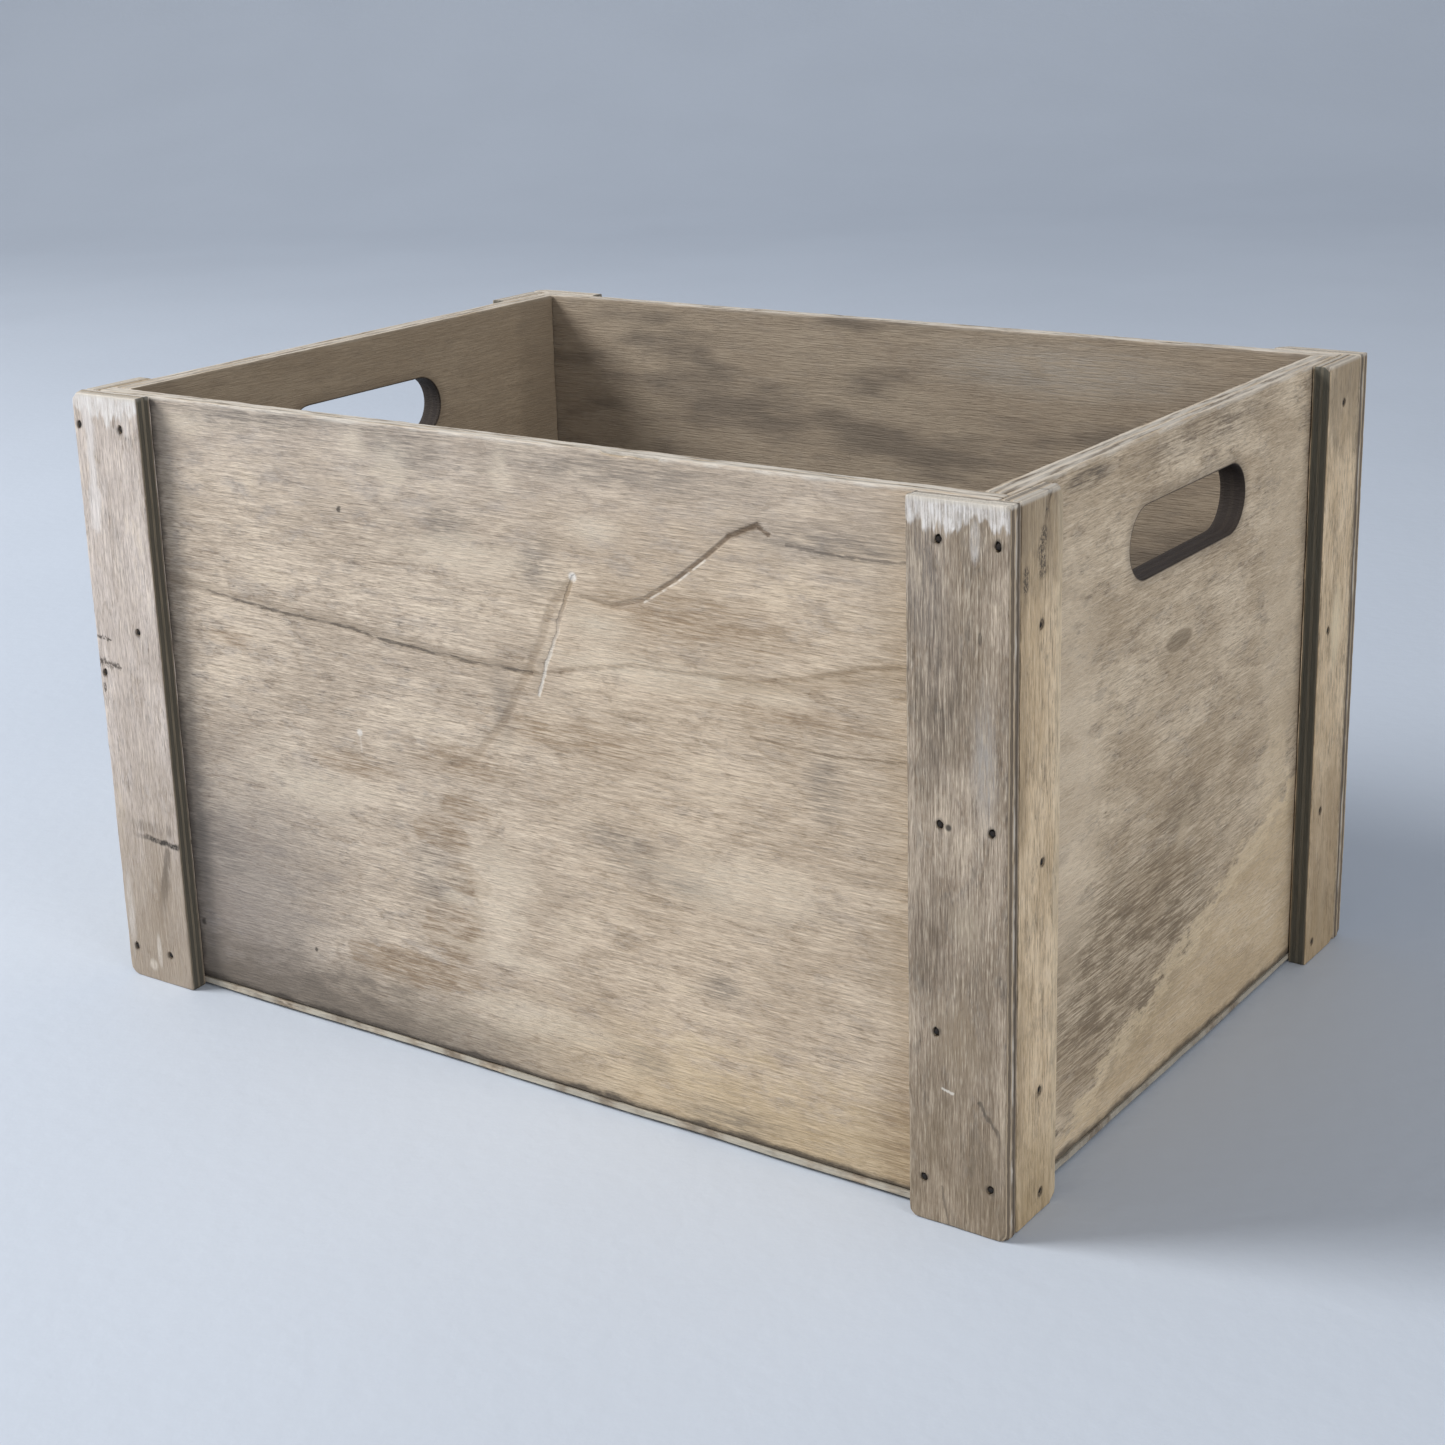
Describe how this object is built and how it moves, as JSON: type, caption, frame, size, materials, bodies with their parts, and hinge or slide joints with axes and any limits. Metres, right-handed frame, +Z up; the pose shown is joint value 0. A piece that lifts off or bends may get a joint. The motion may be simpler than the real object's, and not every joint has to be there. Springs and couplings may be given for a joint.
{
  "type": "wooden apple crate",
  "caption": "Open nailed plywood crate with corner battens, a thin floor sheet and a hand slot in each end, for picking, carrying and storing fruit.",
  "frame": {"origin": "centre of the footprint on the ground, under the battens", "axes": "+X along the long sides, +Y from front to rear, +Z up through the open top"},
  "size_m": [0.5, 0.357, 0.2985],
  "materials": {
    "panel_ply": "weathered bare plywood, grey-tan with stains and whitish wash along the rim",
    "end_ply": "weathered bare plywood, darker towards the battens",
    "floor_ply": "thin bare plywood, dusty",
    "wide_batten_ply": "weathered grey plywood strip with upright grain and remains of white paint",
    "narrow_batten_ply": "weathered yellow-grey plywood strip with upright grain",
    "nail_steel": "dull rusted wire nail"
  },
  "bodies": {
    "root": {"front_panel": "panel_ply", "rear_panel": "panel_ply", "left_end_panel": "end_ply", "right_end_panel": "end_ply", "floor_panel": "floor_ply", "wide_batten_front_right": "wide_batten_ply", "wide_batten_front_left": "wide_batten_ply", "wide_batten_rear_right": "wide_batten_ply", "wide_batten_rear_left": "wide_batten_ply", "narrow_batten_front_right": "narrow_batten_ply", "narrow_batten_front_left": "narrow_batten_ply", "narrow_batten_rear_right": "narrow_batten_ply", "narrow_batten_rear_left": "narrow_batten_ply", "nail_floor_front_1": "nail_steel", "nail_floor_front_2": "nail_steel", "nail_floor_front_3": "nail_steel", "nail_floor_rear_1": "nail_steel", "nail_floor_rear_2": "nail_steel", "nail_floor_rear_3": "nail_steel", "nail_front_left_end_1": "nail_steel", "nail_front_left_end_2": "nail_steel", "nail_front_left_end_3": "nail_steel", "nail_front_left_end_4": "nail_steel", "nail_front_left_side_1": "nail_steel", "nail_front_left_side_2": "nail_steel", "nail_front_left_side_3": "nail_steel", "nail_front_left_side_4": "nail_steel", "nail_front_left_side_5": "nail_steel", "nail_front_left_side_6": "nail_steel", "nail_front_right_end_1": "nail_steel", "nail_front_right_end_2": "nail_steel", "nail_front_right_end_3": "nail_steel", "nail_front_right_end_4": "nail_steel", "nail_front_right_side_1": "nail_steel", "nail_front_right_side_2": "nail_steel", "nail_front_right_side_3": "nail_steel", "nail_front_right_side_4": "nail_steel", "nail_front_right_side_5": "nail_steel", "nail_front_right_side_6": "nail_steel", "nail_front_right_side_7": "nail_steel", "nail_rear_left_end_1": "nail_steel", "nail_rear_left_end_2": "nail_steel", "nail_rear_left_end_3": "nail_steel", "nail_rear_left_end_4": "nail_steel", "nail_rear_left_side_1": "nail_steel", "nail_rear_left_side_2": "nail_steel", "nail_rear_left_side_3": "nail_steel", "nail_rear_left_side_4": "nail_steel", "nail_rear_left_side_5": "nail_steel", "nail_rear_left_side_6": "nail_steel", "nail_rear_right_end_1": "nail_steel", "nail_rear_right_end_2": "nail_steel", "nail_rear_right_end_3": "nail_steel", "nail_rear_right_end_4": "nail_steel", "nail_rear_right_side_1": "nail_steel", "nail_rear_right_side_2": "nail_steel", "nail_rear_right_side_3": "nail_steel", "nail_rear_right_side_4": "nail_steel", "nail_rear_right_side_5": "nail_steel", "nail_rear_right_side_6": "nail_steel"}
  },
  "joints": []
}
